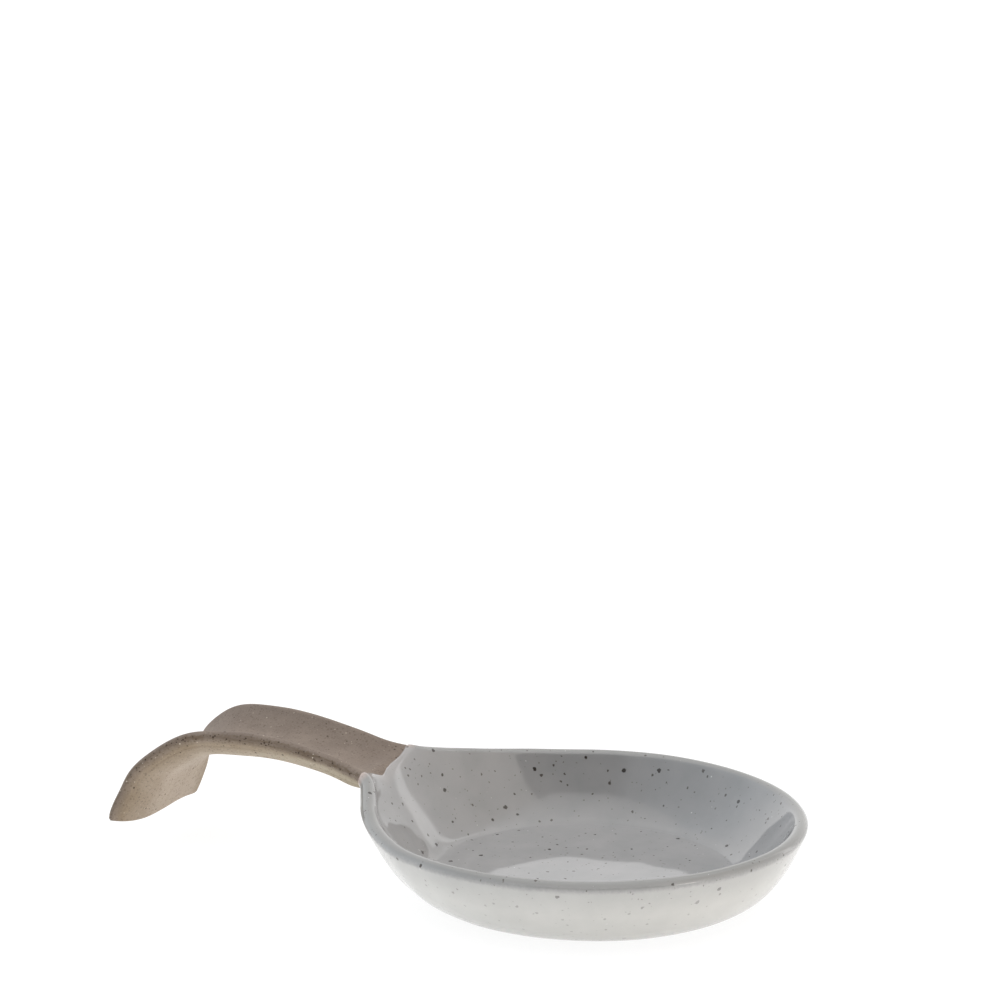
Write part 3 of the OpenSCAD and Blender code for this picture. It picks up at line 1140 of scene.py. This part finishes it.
# %% Table
table_glow = 0.45
table_paleness = 0.8
bpy.ops.mesh.primitive_plane_add(size=8.0, location=(0, 0, 0))
table = bpy.context.object
table.name = "table"
table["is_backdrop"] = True
white_table, tree = new_material("white_table")
path = add(tree, "LightPath")
sheet = add(tree, "BsdfDiffuse", {"Color": linear("#f2f2f2")})
glow = add(tree, "Emission", {"Color": linear("#ffffff"), "Strength": table_glow})
lit = add(tree, "AddShader", {0: sheet.outputs[0], 1: glow.outputs[0]})
plain = add(tree, "Emission", {"Color": linear("#ffffff"), "Strength": 1.0})
shown = add(tree, "MixShader", {"Fac": table_paleness, 1: lit.outputs[0], 2: plain.outputs[0]})
looking = add(tree, "Math",
              {0: path.outputs["Is Camera Ray"], 1: path.outputs["Is Glossy Ray"]},
              operation="MAXIMUM").outputs[0]
view = add(tree, "MixShader", {"Fac": looking, 1: lit.outputs[0], 2: shown.outputs[0]})
add(tree, "OutputMaterial", {"Surface": view.outputs[0]})
dress(table, white_table)
print("table:", len(tree.nodes), "nodes")

# %% The tent's walls
# Each stop: the turn in degrees from +X, how bright the cloth is, and how warm. A ramp's
# colours stop at 1, so they are divided by a full brightness that is put back at the end.
full = 4.0
tent_stops = [(-180, 1.55, -1), (-130, 1.15, -1), (-104, 0.6, -1), (-92, 0.05, 0),
              (-23, 0.05, 0), (-20.8, 1.42, 1), (20, 1.32, 1), (56, 1.1, 0), (59, 2.4, 0),
              (63, 2.4, 0), (66, 1.15, 0), (100, 1.15, 0), (150, 1.45, 0), (180, 1.55, -1)]
warmth = 0.06
world = bpy.data.worlds.new("tent")
bpy.context.scene.world = world
world.use_nodes = True
tree = world.node_tree
tree.nodes.clear()
path = add(tree, "LightPath")
whole_way = add(tree, "TexCoord").outputs["Generated"]
way = add(tree, "SeparateXYZ", {0: whole_way})
turn = add(tree, "Math", {0: way.outputs["Y"], 1: way.outputs["X"]},
           operation="ARCTAN2").outputs[0]
turn = add(tree, "MapRange",
           {"Value": turn, "From Min": -math.pi, "From Max": math.pi}).outputs[0]
walls = add(tree, "ValToRGB", {"Fac": turn})
ramp = walls.color_ramp
while len(ramp.elements) < len(tent_stops):
    ramp.elements.new(0.5)
for element, (angle, level, warm) in zip(ramp.elements, tent_stops):
    element.position = (angle + 180) / 360
    element.color = [level / full * (1 + warmth * warm * part) for part in (1, 0, -1)] + [1]

# %% The tent's top and a lamp
# A direction's height is 0 at the table and 1 straight up. The lamp's rim and core are
# cosines of the angle from its middle, 7.7 and 6.3 degrees.
top_level = 1.88
hem_low, hem_high = 0.78, 0.90
up = add(tree, "MapRange",
         {"Value": way.outputs["Z"], "From Min": hem_low, "From Max": hem_high}).outputs[0]
hem = add(tree, "ValToRGB", {"Fac": up})
hem.color_ramp.elements[0].color = (0, 0, 0, 1)
hem.color_ramp.elements[1].color = (1, 1, 1, 1)
hem_stop = hem.color_ramp.elements.new(0.2)
hem_stop.color = (0.55, 0.55, 0.55, 1)
top = [top_level / full] * 3 + [1]
cloth = add(tree, "Mix", {0: hem.outputs["Color"], 6: walls.outputs["Color"], 7: top},
            data_type="RGBA").outputs[2]
lamp_turn, lamp_lift = math.radians(-16), math.radians(18)
lamp_level = 7.0
lamp_rim, lamp_core = 0.991, 0.994
lamp_way = (math.cos(lamp_turn) * math.cos(lamp_lift), math.sin(lamp_turn) * math.cos(lamp_lift),
            math.sin(lamp_lift))
facing = add(tree, "VectorMath", {0: whole_way, 1: lamp_way},
             operation="DOT_PRODUCT").outputs["Value"]
lamp = add(tree, "MapRange",
           {"Value": facing, "From Min": lamp_rim, "From Max": lamp_core, "To Min": 1.0,
            "To Max": lamp_level}).outputs[0]
cloth = add(tree, "VectorMath", {0: cloth, "Scale": lamp}, operation="SCALE").outputs[0]

# %% What the camera sees behind the object
tent = add(tree, "Background", {"Color": cloth, "Strength": full})
paper = add(tree, "Background", {"Color": linear("#ffffff"), "Strength": 1.0})
seen = add(tree, "MixShader",
           {"Fac": path.outputs["Is Camera Ray"], 1: tent.outputs[0], 2: paper.outputs[0]})
add(tree, "OutputWorld", {"Surface": seen.outputs[0]})
print("tent:", len(tree.nodes), "nodes")

# %% [markdown]
# ## The camera
#
# The view was found by fitting the outline of the model to the picture: a long lens a
# metre away, a little above the lip, with the bowl near and the handle to the left.

# %% Camera
camera_data = bpy.data.cameras.new("camera")
camera_data.lens = 123.04
camera_data.sensor_width = 36.0
camera_data.clip_start = 0.01
camera = bpy.data.objects.new("camera", camera_data)
camera_distance = 1.05159
camera_height = math.radians(19.47)
camera_turn = math.radians(22.87)
camera_tilt = math.radians(77.06)
camera_heading = math.radians(24.47)
camera.location = (camera_distance * math.sin(camera_turn) * math.cos(camera_height),
                   -camera_distance * math.cos(camera_turn) * math.cos(camera_height),
                   camera_distance * math.sin(camera_height))
camera.rotation_euler = (camera_tilt, 0, camera_heading)
bpy.context.scene.collection.objects.link(camera)
bpy.context.scene.camera = camera
bpy.context.scene.view_settings.view_transform = "Standard"
print("camera at", [round(c, 3) for c in camera.location])

# %% Measure and finish
visual_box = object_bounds()
boxes = {"cad": [list(corner) for corner in cad_box],
         "visual": [list(corner) for corner in visual_box]}
for name, box in boxes.items():
    print(name, [round((b - a) / MM, 2) for a, b in zip(*box)])
